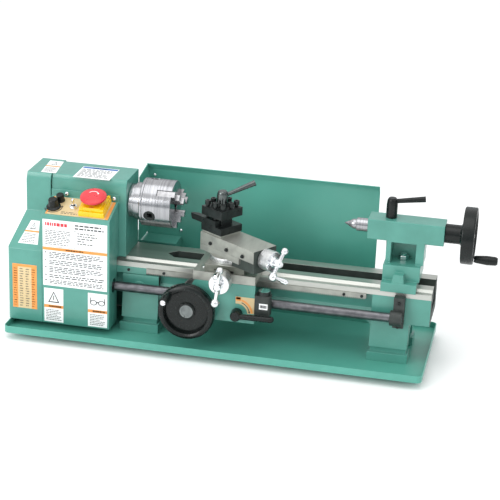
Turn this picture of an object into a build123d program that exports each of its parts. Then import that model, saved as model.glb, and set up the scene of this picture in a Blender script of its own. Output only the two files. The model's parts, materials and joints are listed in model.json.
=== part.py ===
from build123d import *
import math
import os

# Bench metal lathe, about 180 mm swing over the bed and 300 mm between centres.
# Working frame while modelling, in millimetres: X along the spindle towards the tailstock,
# Y to the back, Z up. X = 0 is the headstock face behind the chuck, Y = 0 the spindle's
# vertical plane, Z = 0 the top of the bed ways. Every node is moved to the row frame at the end.

# ---------------------------------------------------------------- driving dimensions
CENTRE_HEIGHT = 89.0            # spindle axis above the ways
BED_HALF_WIDTH = 41.3
BED_LEFT, BED_RIGHT = -125.0, 509.0
BED_TOP_HEIGHT = 136.0          # ways above the bench
FOOT_HEIGHT = 12.0              # rubber foot under the tray
SHEET = 1.5                     # tray, guard and motor cover metal
LEG_WIDTH = 66.0
LEG_CENTRES = (29.0, 445.0)
BOLT_Y = 38.0                   # bench bolts, either side of the bed's centre
BOLT_HOLE_R = 3.3               # clears an M6 bolt
SLOT_Y = (-9.3, 20.0)           # gap between the front and back ways
SPINDLE_BORE_R = 10.0
CHUCK_R = 40.0
CHUCK_X = (9.0, 75.0)
BACK_PLATE_SEAM = (26.0, 26.9)
LEADSCREW = (-60.0, -42.0)      # Y, Z of the leadscrew axis
LEADSCREW_R = 8.0
CARRIAGE_X = 178.0
SADDLE_HALF = 51.5
SADDLE_TOP = 9.5
APRON_FRONT, APRON_BACK = -82.0, -75.0
HANDWHEEL = (121.5, -55.5)      # X, Z of the carriage handwheel shaft
CROSS_SCREW_Z = 5.0
COMPOUND_PIVOT = (177.5, -42.5)
COMPOUND_ANGLE = -34.0          # turned towards the front right
COMPOUND_TOP = 62.0
TURRET_TOP = 106.0
TOOL_FLOOR = 77.0
MOTOR = (73.9, -60.0)           # Y, Z of the motor axis
PANEL_SLOPE = 17.5              # degrees, operator panel
RUN = 0.05                      # radial clearance of a shaft in its bearing
GAP = 0.1                       # clearance of a slide on its way

TRAY_BOTTOM = FOOT_HEIGHT - BED_TOP_HEIGHT
TRAY_FLOOR = TRAY_BOTTOM + SHEET
BOLT_MID_X = sum(LEG_CENTRES) / 2
PANEL = Pos(0, -86.3, 79.5) * Rot(PANEL_SLOPE, 0, 0)
COMPOUND = Pos(*COMPOUND_PIVOT, 0) * Rot(0, 0, COMPOUND_ANGLE)
TO_X = Rot(0, 90, 0)            # turns a solid of revolution about Z so that it points along +X
TO_FRONT = Rot(90, 0, 0)        # so that it points along -Y, to the operator

NODES = {}


# ---------------------------------------------------------------- helpers
def node(name, *solids):
    """Keeps the separate solids of one named piece."""
    NODES[name] = list(solids)


def block(x, y, z):
    size = (x[1] - x[0], y[1] - y[0], z[1] - z[0])
    return Pos((x[0] + x[1]) / 2, (y[0] + y[1]) / 2, (z[0] + z[1]) / 2) * Box(*size)


def rod_x(radius, x, y, z):
    return Pos((x[0] + x[1]) / 2, y, z) * TO_X * Cylinder(radius, x[1] - x[0])


def rod_y(radius, x, y, z):
    return Pos(x, (y[0] + y[1]) / 2, z) * TO_FRONT * Cylinder(radius, y[1] - y[0])


def rod_z(radius, x, y, z):
    return Pos(x, y, (z[0] + z[1]) / 2) * Cylinder(radius, z[1] - z[0])


def ring_x(outer, inner, x, y, z):
    return rod_x(outer, x, y, z) - rod_x(inner, (x[0] - 1, x[1] + 1), y, z)


def turned(points):
    """Solid of revolution about Z from (distance along Z, radius) points."""
    outline = [(radius, along) for along, radius in points]
    if outline[0][0] > 0:
        outline.insert(0, (0, outline[0][1]))
    if outline[-1][0] > 0:
        outline.append((0, outline[-1][1]))
    face = make_face(Plane.XZ * Polyline(*outline, close=True))
    return revolve(face, Axis.Z)


def bar_x(points, x):
    """Prism along X from a (Y, Z) outline."""
    face = make_face(Plane.YZ * Polyline(*points, close=True))
    return Pos(x[0], 0, 0) * extrude(face, x[1] - x[0], dir=(1, 0, 0))


def bar_y(points, y):
    """Prism along Y from an (X, Z) outline."""
    face = make_face(Plane.XZ * Polyline(*points, close=True))
    return Pos(0, y[0], 0) * extrude(face, y[1] - y[0], dir=(0, 1, 0))


def bar_z(points, z):
    """Prism along Z from an (X, Y) outline."""
    face = make_face(Polyline(*points, close=True))
    return Pos(0, 0, z[0]) * extrude(face, z[1] - z[0], dir=(0, 0, 1))


def rod_between(radius_a, radius_b, a, b):
    """Tapered round bar from point a to point b."""
    axis = Vector(*b) - Vector(*a)
    plane = Plane(origin=a, z_dir=axis)
    cone = Cone(radius_a, radius_b, axis.length, align=(Align.CENTER, Align.CENTER, Align.MIN))
    return plane * cone


def gear(teeth, module, width, phase=0.0, fullness=0.22):
    """Spur gear about Z with straight-flanked teeth; a tooth's middle points along phase."""
    radius = teeth * module / 2
    pitch_angle = 2 * math.pi / teeth
    flank = ((1.15, fullness + 0.12), (-0.9, fullness - 0.115))
    points = []
    for index in range(teeth):
        middle = phase + index * pitch_angle
        for side, order in ((-1, flank), (1, flank[::-1])):
            for depth, half in order:
                at = radius - depth * module
                turn = side * half * math.pi * module / radius
                points.append((at * math.cos(middle + turn), at * math.sin(middle + turn)))
    return bar_z(points, (0, width))


def mesh_phase(driver_phase, driver_teeth, teeth, direction):
    """Phase of a gear that meshes with a driver, the driver's centre-to-centre angle being given."""
    driver_pitch = 2 * math.pi / driver_teeth
    into = ((direction - driver_phase) / driver_pitch) % 1.0
    return direction + math.pi - (0.5 - into) * 2 * math.pi / teeth


def gear_on_x(teeth, module, x, centre, phase):
    """Gear in the Y-Z plane; phase is an angle from +Y towards +Z."""
    turn = Plane(origin=(x[0], *centre), x_dir=(0, 1, 0), z_dir=(1, 0, 0))
    return turn * gear(teeth, module, x[1] - x[0], phase)


def gear_on_y(teeth, module, y, centre, phase, fullness=0.19):
    """Gear in the X-Z plane, seen from the front; phase is an angle from +X towards +Z."""
    turn = Plane(origin=(centre[0], y[1], centre[1]), x_dir=(1, 0, 0), z_dir=(0, -1, 0))
    return turn * gear(teeth, module, y[1] - y[0], phase, fullness)


def angle_to(a, b):
    return math.atan2(b[1] - a[1], b[0] - a[0])


def third_centre(a, b, from_a, from_b):
    """Point at the given distances from a and b, on the right of the way from a to b."""
    span = math.dist(a, b)
    along = (span ** 2 + from_a ** 2 - from_b ** 2) / (2 * span)
    off = math.sqrt(from_a ** 2 - along ** 2)
    ux, uy = (b[0] - a[0]) / span, (b[1] - a[1]) / span
    return a[0] + along * ux - off * uy, a[1] + along * uy + off * ux


def cap_screw(radius, height):
    """Socket-head screw's head standing on Z = 0."""
    socket = extrude(RegularPolygon(radius * 0.5, 6), height * 0.6)
    return Cylinder(radius, height, align=(Align.CENTER, Align.CENTER, Align.MIN)) - Pos(0, 0, height * 0.4) * socket


def pan_screw(radius, height):
    """Domed screw head standing on Z = 0."""
    return turned([(0, radius), (height * 0.35, radius), (height * 0.8, radius * 0.7), (height, radius * 0.3)])


# ---------------------------------------------------------------- tray, feet and splash guard
TRAY_X, TRAY_Y = (-185.0, 509.5), (-118.0, 109.0)
LIP_TOP = TRAY_BOTTOM + 12.0
GUARD_X, GUARD_Y, GUARD_TOP = (0.0, 399.0), 96.4, 124.7


def bench_bolt_holes(z, radius=BOLT_HOLE_R):
    return [rod_z(radius, x, y, z) for x in LEG_CENTRES for y in (-BOLT_Y, BOLT_Y)]


def tray():
    middle = Pos(sum(TRAY_X) / 2, sum(TRAY_Y) / 2, 0)
    length, depth = TRAY_X[1] - TRAY_X[0], TRAY_Y[1] - TRAY_Y[0]
    outer = extrude(middle * Pos(0, 0, TRAY_BOTTOM) * RectangleRounded(length, depth, 9), LIP_TOP - TRAY_BOTTOM)
    pan = middle * Pos(0, 0, TRAY_FLOOR) * RectangleRounded(length - 2 * SHEET, depth - 2 * SHEET, 9 - SHEET)
    body = outer - extrude(pan, 20)
    for hole in bench_bolt_holes((TRAY_BOTTOM - 1, TRAY_FLOOR + 1)):
        body -= hole
    node("chip_tray", body)
    feet = []
    for x in LEG_CENTRES:
        for y in (-BOLT_Y, BOLT_Y):
            foot = Pos(x, y, TRAY_BOTTOM - FOOT_HEIGHT) * turned([(0, 15), (1.5, 16.5), (FOOT_HEIGHT, 18)])
            feet.append(foot - rod_z(BOLT_HOLE_R, x, y, (TRAY_BOTTOM - 20, TRAY_BOTTOM + 1)))
    node("rubber_feet", *feet)


def splash_guard():
    y = GUARD_Y
    panel = bar_x([(y, TRAY_FLOOR), (y, 113), (y - 7, GUARD_TOP), (y - 7 + SHEET, GUARD_TOP + 0.8),
                   (y + SHEET, 113.6), (y + SHEET, TRAY_FLOOR)], GUARD_X)
    foot = block(GUARD_X, (y, y + 10), (TRAY_FLOOR, TRAY_FLOOR + SHEET))
    wing = bar_x([(41, 1), (y + 0.5, 1), (y + 0.5, 112.5), (y - 7, GUARD_TOP - 0.5), (41, 116)], (0, SHEET))
    node("splash_guard", panel + foot + wing)


# ---------------------------------------------------------------- bed, legs and rack
WAY_DEPTH = 24.0
LIP_DEPTH = 13.0                # machined front lip, above the rack
WEB_BOTTOM = -57.0
VEE = ((-31.5, -4.5), (-27.0, 0.0))
RACK_Y, RACK_X = (-43.3, -37.3), (38.0, 404.0)
RACK_PITCH_Z, RACK_MODULE = -22.0, 1.0
RACK_SCREWS = (8.0, 68.0, 218.0, 368.0, 397.0)
WEB = ((35, -WAY_DEPTH), (35, -38.5), (42, -48), (42, WEB_BOTTOM), (27, WEB_BOTTOM), (27, -WAY_DEPTH))
GUSSET = ((0, WEB_BOTTOM), (0, -73), (2.5, -64), (8, -59), (16, WEB_BOTTOM))


def leg(centre):
    x = (centre - LEG_WIDTH / 2, centre + LEG_WIDTH / 2)
    inset = (x[0] + 2, x[1] - 2)
    upper = bar_x([(-45, -24.5), (-45, -60), (-50, -100), (50, -100), (45, -60), (45, -24.5)], inset)
    neck = block((x[0] + 4, x[1] - 4), (-46, 46), (-110, -98))
    pad = block(x, (-54, 54), (TRAY_FLOOR, -108))
    arch = bar_x([(-22, TRAY_FLOOR - 1), (-22, -84), (-14, -76), (14, -76), (22, -84), (22, TRAY_FLOOR - 1)],
                 (x[0] - 1, x[1] + 1))
    upper -= bar_x([(-27, -20), (-27, -44), (27, -44), (27, -20)], (x[0] - 1, x[1] + 1))
    return upper + neck + pad - arch


def bed():
    front = bar_x([(-BED_HALF_WIDTH, -LIP_DEPTH), (-BED_HALF_WIDTH, VEE[0][1]), VEE[0], VEE[1],
                   (SLOT_Y[0], 0), (SLOT_Y[0], -WAY_DEPTH), (-35, -WAY_DEPTH), (-35, -LIP_DEPTH)],
                  (BED_LEFT, BED_RIGHT))
    back = block((BED_LEFT, BED_RIGHT), (SLOT_Y[1], BED_HALF_WIDTH), (-WAY_DEPTH, 0))
    body = front + back
    inner_sides = (LEG_CENTRES[0] + LEG_WIDTH / 2, LEG_CENTRES[1] - LEG_WIDTH / 2)
    for side in (-1, 1):
        body += bar_x([(side * y, z) for y, z in WEB], (BED_LEFT, BED_RIGHT))
        for x, away in zip(inner_sides, (1, -1)):
            body += bar_y([(x + away * (along - 3), z) for along, z in GUSSET], (side * 34.5 - 7.5, side * 34.5 + 7.5))
    closed_top = block((BED_LEFT, 76), SLOT_Y, (-WAY_DEPTH, 0))
    middle_y = sum(SLOT_Y) / 2
    nose = bar_z([(62, middle_y), (76, SLOT_Y[1]), (77, SLOT_Y[1]), (77, SLOT_Y[0]), (76, SLOT_Y[0])],
                 (-WAY_DEPTH - 1, 1))
    body += closed_top - nose
    for x in (BED_LEFT, 20, 110, 200, 290, 380, BED_RIGHT - 10):
        body += block((x, x + 10), (-27, 27), (WEB_BOTTOM, -40))
    end = [(27, -LIP_DEPTH), (BED_HALF_WIDTH, -LIP_DEPTH), (45, -20), (45, WEB_BOTTOM), (27, WEB_BOTTOM)]
    for side in (-1, 1):
        body += bar_x([(side * y, z) for y, z in end], (inner_sides[1] + 2, BED_RIGHT))
    for centre in LEG_CENTRES:
        body += leg(centre)
    body += block((-20, RACK_X[0] - GAP), (RACK_Y[0], -30), (-WAY_DEPTH, -LIP_DEPTH))
    body += rod_y(11, 27.5, (-48, -44), -47)
    for hole in bench_bolt_holes((TRAY_FLOOR - 1, TRAY_FLOOR + 26)):
        body -= hole
    node("bed", body)


def rack_outline():
    pitch = math.pi * RACK_MODULE
    points = [(RACK_X[1], -LIP_DEPTH), (RACK_X[0], -LIP_DEPTH), (RACK_X[0], RACK_PITCH_Z + 1.25)]
    for index in range(int((RACK_X[1] - RACK_X[0]) / pitch)):
        middle = RACK_X[0] + (index + 0.5) * pitch
        for offset, z in ((-0.32, 1.25), (-0.09, -0.9), (0.09, -0.9), (0.32, 1.25)):
            points.append((middle + offset * pitch, RACK_PITCH_Z + z))
    points.append((RACK_X[1], RACK_PITCH_Z + 1.25))
    return points


def rack():
    node("feed_rack", bar_y(rack_outline(), RACK_Y))


# ---------------------------------------------------------------- headstock, spindle and chuck
HEAD_X, HEAD_Y, HEAD_TOP = (-128.0, 0.0), (-34.0, 39.0), 131.7
BEARING_R, BEARING_WIDTH, SHAFT_R = 31.0, 16.0, 15.0
DRIVE_GEAR_X, PULLEY_X = (-163.0, -155.0), (-150.0, -138.0)
GEAR_MODULE = 1.5
SPINDLE_TEETH, TUMBLER_TEETH, CHANGE_TEETH, LEADSCREW_TEETH = 30, 34, 40, 28
TUMBLER_DIRECTION = math.radians(-105)
JAW_ANGLES = (137.0, 257.0, 17.0)       # from +Y towards +Z
PINION_X = 40.0
SCROLL_X = (46.0, 49.8)


def head_outline(extra=0.0):
    return [(HEAD_Y[1] + extra, 0), (HEAD_Y[1] + extra, HEAD_TOP), (HEAD_Y[0] + 5, HEAD_TOP),
            (HEAD_Y[0] - extra, HEAD_TOP - 12), (HEAD_Y[0] - extra, 0)]


def headstock():
    body = bar_x(head_outline(), HEAD_X)
    body = fillet(body.edges().filter_by(Axis.X).group_by(Axis.Z)[-1], 2.5)
    body -= block((HEAD_X[0] + 20, -20), (-24, 29), (10, 120))
    for bore, lip in (((HEAD_X[0] + 4, HEAD_X[0] + 21), (HEAD_X[0] - 1, HEAD_X[0] + 5)), ((-21, -4), (-5, 1))):
        body -= rod_x(BEARING_R, bore, 0, CENTRE_HEIGHT)
        body -= rod_x(20, lip, 0, CENTRE_HEIGHT)
    node("headstock", body)
    bearings = []
    for x in ((HEAD_X[0] + 4, HEAD_X[0] + 20), (-20, -4)):
        bearings.append(ring_x(BEARING_R - 0.02, SHAFT_R + RUN, x, 0, CENTRE_HEIGHT))
    node("spindle_bearings", *bearings)


def spindle():
    shaft = Pos(-165, 0, CENTRE_HEIGHT) * TO_X * turned([(0, SHAFT_R), (166, SHAFT_R), (166, 28), (174, 28)])
    node("spindle", shaft - rod_x(SPINDLE_BORE_R, (-166, 10), 0, CENTRE_HEIGHT))
    pulley = Pos(PULLEY_X[0], 0, CENTRE_HEIGHT) * TO_X * turned([(0, 22.5), (1.5, 22.5), (1.5, 19.5), (10.5, 19.5),
                                                                 (10.5, 22.5), (12, 22.5)])
    drive = gear_on_x(SPINDLE_TEETH, GEAR_MODULE, DRIVE_GEAR_X, (0, CENTRE_HEIGHT), TUMBLER_DIRECTION)
    clear = rod_x(SHAFT_R, (-170, -130), 0, CENTRE_HEIGHT)
    node("spindle_pulley", pulley - clear, drive - clear)


def about_spindle(angle):
    """Frame at the spindle axis whose local +X is radial and local +Z is world +X."""
    radial = (0, math.cos(math.radians(angle)), math.sin(math.radians(angle)))
    return Plane(origin=(0, 0, CENTRE_HEIGHT), x_dir=radial, z_dir=(1, 0, 0))


def jaw(angle):
    """Stepped hard jaw, its tip 8 mm from the axis."""
    half, inner = 5.0, 8.0
    body = None
    for outer, x in ((38, (SCROLL_X[1] + 0.4, 80)), (28, (80, 86)), (18, (86, 91.5))):
        step = bar_z([(inner, -1.2), (inner + 3.5, -half), (outer, -half), (outer, half), (inner + 3.5, half),
                      (inner, 1.2)], x)
        body = body + step if body else step
    return about_spindle(angle) * body


def chuck():
    body = Pos(CHUCK_X[0], 0, CENTRE_HEIGHT) * TO_X * turned([(0, 31), (12.5, 31), (12.5, CHUCK_R - 1), (13.5, CHUCK_R),
                                                              (65, CHUCK_R), (66, CHUCK_R - 1)])
    body -= rod_x(8, (CHUCK_X[0] - 1, CHUCK_X[1] + 1), 0, CENTRE_HEIGHT)
    body -= ring_x(33, 12, (SCROLL_X[0] - 0.3, SCROLL_X[1] + 0.4), 0, CENTRE_HEIGHT)
    body -= ring_x(CHUCK_R + 1, CHUCK_R - 0.8, BACK_PLATE_SEAM, 0, CENTRE_HEIGHT)
    jaws = []
    pinions = []
    for angle in JAW_ANGLES:
        slot = Pos(25, 0, 65) * Box(50, 10.3, 30)
        body -= about_spindle(angle) * slot
        jaws.append(jaw(angle))
        key = about_spindle(angle + 60) * Pos(0, 0, PINION_X) * Rot(0, 90, 0)
        body -= key * Pos(0, 0, 34) * Cylinder(9.5, 12, align=(Align.CENTER, Align.CENTER, Align.MIN))
        body -= key * Pos(0, 0, 21) * Cylinder(5.5, 14, align=(Align.CENTER, Align.CENTER, Align.MIN))
        pinion = turned([(22, 5.4), (34.2, 5.4), (34.2, 9.5 - RUN), (37.8, 9.5 - RUN)])
        socket = Pos(0, 0, 34) * Box(8, 8, 9)
        pinions.append(key * (pinion - socket))
    node("chuck_body", body)
    node("chuck_scroll", ring_x(32, 12.3, SCROLL_X, 0, CENTRE_HEIGHT))
    for index, piece in enumerate(jaws):
        node(f"chuck_jaw_{index + 1}", piece)
    for index, piece in enumerate(pinions):
        node(f"chuck_pinion_{index + 1}", piece)


# ---------------------------------------------------------------- motor, belt and change gears
BELT_THICKNESS = 2.0
MOTOR_PULLEY_R, SPINDLE_PULLEY_R = 8.0, 19.5
STUD_R = 4.0


def belt_loop(offset):
    """Outline of the belt around both pulleys, at a distance outside their faces."""
    a, b = (0.0, CENTRE_HEIGHT), MOTOR
    radius_a, radius_b = SPINDLE_PULLEY_R + offset, MOTOR_PULLEY_R + offset
    direction = angle_to(a, b)
    lean = math.acos((radius_a - radius_b) / math.dist(a, b))
    corners = []
    for centre, radius in ((a, radius_a), (b, radius_b)):
        for side in (1, -1):
            at = direction + side * lean
            corners.append((centre[0] + radius * math.cos(at), centre[1] + radius * math.sin(at)))
    left_a, right_a, left_b, right_b = corners
    far_a = (a[0] - radius_a * math.cos(direction), a[1] - radius_a * math.sin(direction))
    far_b = (b[0] + radius_b * math.cos(direction), b[1] + radius_b * math.sin(direction))
    edges = [ThreePointArc(right_a, far_a, left_a), Line(left_a, left_b), ThreePointArc(left_b, far_b, right_b),
             Line(right_b, right_a)]
    return make_face(Plane.YZ * Wire(edges))


def belt_band(offset, width):
    return extrude(belt_loop(offset), width, dir=(1, 0, 0))


def drive():
    inner = PULLEY_X[0] + 2
    loop = belt_band(0.3 + BELT_THICKNESS, 8) - belt_band(0.3, 8)
    node("drive_belt", Pos(inner, 0, 0) * loop)
    y, z = MOTOR
    body = Pos(-110, y, z) * TO_X * turned([(0, 12), (4, 12), (4, 28), (14, 29), (14, 27.5), (84, 27.5), (84, 29),
                                            (98, 27), (100, 10)])
    body -= rod_x(5 + RUN, (-111, -60), y, z)
    node("motor", body)
    shaft = rod_x(5, (-152, -62), y, z)
    pulley = Pos(PULLEY_X[0], y, z) * TO_X * turned([(0, 10), (1.5, 10), (1.5, MOTOR_PULLEY_R), (10.5, MOTOR_PULLEY_R),
                                                     (10.5, 10), (12, 10)])
    node("motor_rotor", shaft, pulley - rod_x(5, (-160, -130), y, z))
    cover = block((-126, -6), (42.8, 105), (-121, -2)) + block((-7, 62), (56, 95.5), (-42, -2))
    cover -= block((-130, -6 - SHEET), (42.8 + SHEET, 105 - SHEET), (-122, -2 - SHEET))
    cover -= block((-8, 62 - SHEET), (56 + SHEET, 95.5 - SHEET), (-43, -2 - SHEET))
    for index in range(6):
        cover -= block((-104 + index * 16, -96 + index * 16), (100, 110), (-90, -50))
    node("motor_cover", cover)


def gear_train():
    spindle_at, leadscrew_at = (0.0, CENTRE_HEIGHT), LEADSCREW
    reach = GEAR_MODULE * (SPINDLE_TEETH + TUMBLER_TEETH) / 2
    tumbler_at = (reach * math.cos(TUMBLER_DIRECTION), CENTRE_HEIGHT + reach * math.sin(TUMBLER_DIRECTION))
    change_at = third_centre(tumbler_at, leadscrew_at, GEAR_MODULE * (TUMBLER_TEETH + CHANGE_TEETH) / 2,
                             GEAR_MODULE * (CHANGE_TEETH + LEADSCREW_TEETH) / 2)
    tumbler_phase = mesh_phase(TUMBLER_DIRECTION, SPINDLE_TEETH, TUMBLER_TEETH, angle_to(spindle_at, tumbler_at))
    change_phase = mesh_phase(tumbler_phase, TUMBLER_TEETH, CHANGE_TEETH, angle_to(tumbler_at, change_at))
    last_phase = mesh_phase(change_phase, CHANGE_TEETH, LEADSCREW_TEETH, angle_to(change_at, leadscrew_at))
    studs = [block((-136, -129), (-26, 14), (-40, 62))]
    for name, teeth, centre, phase in (("tumbler_gear", TUMBLER_TEETH, tumbler_at, tumbler_phase),
                                       ("change_gear", CHANGE_TEETH, change_at, change_phase)):
        wheel = gear_on_x(teeth, GEAR_MODULE, DRIVE_GEAR_X, centre, phase)
        node(name, wheel - rod_x(STUD_R + RUN, (-170, -150), *centre))
        studs[0] += rod_x(STUD_R, (-165, -130), *centre)
        studs[0] += rod_x(7, (-154, -130), *centre)
        print(name, "axis", round(centre[0], 3), round(centre[1], 3))
    node("gear_bracket", *studs)
    wheel = gear_on_x(LEADSCREW_TEETH, GEAR_MODULE, DRIVE_GEAR_X, leadscrew_at, last_phase)
    screw = Pos(-165, *LEADSCREW) * TO_X * turned([(0, 6), (153, 6), (155, LEADSCREW_R), (609, LEADSCREW_R),
                                                    (611, 6), (631, 6)])
    node("leadscrew", screw, wheel - rod_x(6, (-170, -150), *LEADSCREW))


def leadscrew_brackets():
    y, z = LEADSCREW
    pieces = []
    right = block((450.5, 468), (-58, -45), (-60, -8)) + rod_x(12.5, (446.5, 466), y, z)
    pieces.append(right - rod_x(6 + RUN, (440, 480), y, z))
    left = block((-38, -20), (-70, -42), (-57, -28))
    pieces.append(left - rod_x(6 + RUN, (-40, -10), y, z))
    node("leadscrew_brackets", *pieces)


# ---------------------------------------------------------------- gear cover and control box
COVER_WALL, COVER_BOTTOM = 2.5, -111.6
KNOB_AT, FUSE_AT, TOGGLE_AT = (-113.4, 20.8), (-107.2, 39.5), (-80.6, 24.4)      # X and distance up the slope


def cover_body(wall):
    """Outside of the gear cover, or its inside when wall is above zero."""
    right = HEAD_X[0] + (1 if wall else 0)
    low_x, high_x = -187 + wall, -170 + wall
    front, back = -86 + wall, 105.5 - wall
    top_front, top_back = -38 + wall, 44 - wall
    lower = block((low_x, right), (front, back), (COVER_BOTTOM + wall, 14.5))
    upper = bar_x([(top_back, 60), (top_back, HEAD_TOP - wall), (top_front + 5, HEAD_TOP - wall),
                   (top_front, HEAD_TOP - 12 - wall / 2), (top_front, 60)], (high_x, right))
    low_face = Pos((low_x + right) / 2, (front + back) / 2, 14.5) * Rectangle(right - low_x, back - front)
    high_face = Pos((high_x + right) / 2, (top_front + top_back) / 2, 67) * Rectangle(right - high_x, top_back - top_front)
    body = lower + upper + loft([low_face, high_face])
    if wall:
        return body
    left_edges = body.edges().filter_by(Axis.Z).group_by(Axis.X)[0]
    return fillet(left_edges, 5)


def gear_cover():
    shell = cover_body(0) - cover_body(COVER_WALL)
    shell -= rod_x(14, (-190, -160), 0, CENTRE_HEIGHT)
    node("gear_cover", shell)


def panel_z(y):
    return 79.5 + (y + 86.3) * math.tan(math.radians(PANEL_SLOPE))


def control_box():
    outline = [(-86.3, -111.3), (-86.3, 79.5), (-36, panel_z(-36)), (-36, 0), (-43.5, 0), (-43.5, -111.3)]
    box = bar_x(outline, (-127.8, -12.3))
    wall = 2.0
    hollow = [(-86.3 + wall, -111.3 + wall), (-86.3 + wall, 79.5 - wall * 1.3), (-35, panel_z(-35) - wall * 1.3),
              (-35, 0), (-42, 0), (-42, -111.3 + wall)]
    box -= bar_x(hollow, (-127.8 + wall, -12.3 - wall))
    flange = block((-127.8, -12.3), (-36, HEAD_Y[0]), (panel_z(-36) - 3, 107))
    box += flange
    box -= rod_x(12, (-130, -10), *LEADSCREW)
    for x, v in (KNOB_AT, FUSE_AT, TOGGLE_AT):
        box -= PANEL * rod_z(4.2, x, v, (-6, 4))
    node("control_box", box)


# ---------------------------------------------------------------- operator panel
SWITCH_X, SWITCH_V = (-66.0, -23.0), (4.0, 48.5)
PLATE = 0.8
LID_BOTTOM, LID_TOP = 10.0, 17.0
HINGE_V, HINGE_W = 46.0, 12.5


def panel_fittings():
    plate = block((-122, -16), (2, 50), (0, PLATE))
    for x, v in (KNOB_AT, FUSE_AT, TOGGLE_AT):
        plate -= rod_z(4.2, x, v, (-1, 2))
    node("control_plate", PANEL * plate)
    knob = Pos(*KNOB_AT, PLATE + 0.3) * turned([(0, 12), (1.5, 12), (3.5, 8.5), (15, 7.2), (16, 6.4)])
    knob += Pos(*KNOB_AT, 0) * rod_z(3, 0, 0, (-5, 1.5))
    knob -= Pos(*KNOB_AT, 0) * block((-0.6, 0.6), (2, 8), (15.3, 17))
    node("speed_knob", PANEL * knob)
    fuse = Pos(*FUSE_AT, PLATE) * turned([(0, 7.2), (2, 7.2), (2, 6.6), (12, 6.2), (13, 5.4)])
    node("fuse_cap", PANEL * fuse)
    lever = Pos(*TOGGLE_AT, 0) * turned([(-4, 1.6), (4, 1.6), (15, 2.6), (17.5, 2.6), (18.6, 1.4)])
    lever += Pos(*TOGGLE_AT, 0) * rod_x(1.2, (-3.4, 3.4), 0, 0)
    node("power_toggle", PANEL * lever)


def safety_switch():
    base = block(SWITCH_X, SWITCH_V, (PLATE, LID_BOTTOM - 0.3))
    base = chamfer(base.faces().sort_by(Axis.Z)[-1].edges(), 1.2)
    base -= block((-58, -31), (12, 40), (4, LID_BOTTOM))
    button = rod_z(5, -44.5, 32, (4, 7.4))
    ears = []
    for x in ((-65.5, -60.5), (-28.5, -23.5)):
        ear = block(x, (HINGE_V - 3, HINGE_V + 2.5), (LID_BOTTOM - 1.5, HINGE_W + 2.5))
        base += ear - rod_x(1.6 + RUN, x, HINGE_V, HINGE_W)
    node("switch_base", PANEL * base, PANEL * button)
    lid = block((-59.5, -29.5), (7, SWITCH_V[1] - 1.5), (LID_BOTTOM, LID_TOP))
    lid = fillet(lid.edges().filter_by(Axis.Z), 3)
    lid += block((-65, -24), (7, 41), (LID_BOTTOM, LID_TOP - 2))
    lid += rod_x(1.6, (-65, -24), HINGE_V, HINGE_W)
    lid -= rod_z(9 + GAP, -44.5, 25, (LID_BOTTOM - 1, LID_TOP + 1))
    node("switch_lid", PANEL * lid)
    stop = Pos(-44.5, 25, 0) * turned([(11, 9), (20.5, 9), (20.5, 15), (25, 15), (25.5, 21.5), (28.5, 21.5),
                                          (31, 17), (31.5, 12)])
    node("stop_button", PANEL * stop)


# ---------------------------------------------------------------- carriage
PINION_TEETH, HANDWHEEL_TEETH, REDUCTION_TEETH = 14, 12, 44
THIN_TOOTH = 0.15               # a straight-flanked small gear needs thinner teeth to run free
PINION_Z = RACK_PITCH_Z - PINION_TEETH * RACK_MODULE / 2
PINION_SHAFT_X = HANDWHEEL[0] + math.sqrt(((HANDWHEEL_TEETH + REDUCTION_TEETH) / 2) ** 2 - (PINION_Z - HANDWHEEL[1]) ** 2)
LEVER_AT = (201.5, -56.0)
DIAL_AT = (244.0, -77.0)


def saddle():
    x = (CARRIAGE_X - SADDLE_HALF, CARRIAGE_X + SADDLE_HALF)
    body = block(x, (-45, 52), (GAP, SADDLE_TOP))
    body += block(x, (APRON_FRONT, -45), (-5.5, SADDLE_TOP))
    body += bar_x([(-45, GAP), (-45, VEE[0][1] + GAP), (VEE[0][0] - GAP, VEE[0][1] + GAP), (VEE[1][0] - 0.2, GAP)], x)
    body += block(x, (BED_HALF_WIDTH + 0.3, 52), (-14, 1))
    for side in (-1, 1):
        wing = block((CARRIAGE_X + side * 34 - 12, CARRIAGE_X + side * 34 + 12), (14, 53), (3.5, 20))
        body -= Pos(side * 14, 0, 4) * wing
    way = bar_y([(164, SADDLE_TOP), (161, SADDLE_TOP + 5), (194, SADDLE_TOP + 5), (191, SADDLE_TOP)], (-70, 50))
    body += way
    body += rod_y(13, CARRIAGE_X, (APRON_FRONT - 15, APRON_FRONT), CROSS_SCREW_Z)
    body -= rod_y(4 + RUN, CARRIAGE_X, (-100, 51), CROSS_SCREW_Z)
    node("saddle", body)


def apron():
    outline = [(130, -5.5), (104, -50), (104, -72), (230, -72), (230, -5.5)]
    body = bar_y(outline, (APRON_FRONT, APRON_BACK))
    body += rod_y(13, HANDWHEEL[0], (APRON_FRONT - 4, APRON_FRONT), HANDWHEEL[1])
    body -= rod_y(6 + RUN, HANDWHEEL[0], (-90, -70), HANDWHEEL[1])
    body -= rod_y(4 + RUN, PINION_SHAFT_X, (APRON_FRONT + 2, -70), PINION_Z)
    body -= rod_y(7 + RUN, LEVER_AT[0], (-90, -70), LEVER_AT[1])
    for x in (183.5, 217):
        body += block((x, x + 4), (APRON_BACK, -52), (-58, -8))
    body -= rod_x(LEADSCREW_R + 1, (180, 225), *LEADSCREW)
    node("apron", body)


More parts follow.
